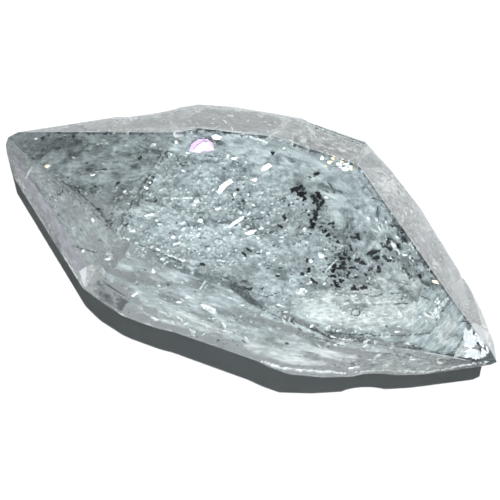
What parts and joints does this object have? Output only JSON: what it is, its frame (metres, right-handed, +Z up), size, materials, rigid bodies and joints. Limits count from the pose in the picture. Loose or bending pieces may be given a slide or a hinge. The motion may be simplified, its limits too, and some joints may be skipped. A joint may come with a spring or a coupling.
{
  "type": "herkimer diamond quartz crystal",
  "caption": "Loose doubly terminated clear quartz crystal with flat natural faces, a point at each end and dark flecks inside, lying on one of its long faces.",
  "frame": {"origin": "on the ground, under the middle of the crystal's bounding box", "axes": "+X along the crystal's long axis toward its longer point, +Z up, the pictured side up and toward -Y"},
  "size_m": [0.032, 0.0153, 0.0122],
  "materials": {
    "crystal": "naturally grown flat quartz faces, glossy, with small pits, chips and low ledges"
  },
  "bodies": {
    "root": {"crystal": "crystal"}
  },
  "joints": []
}
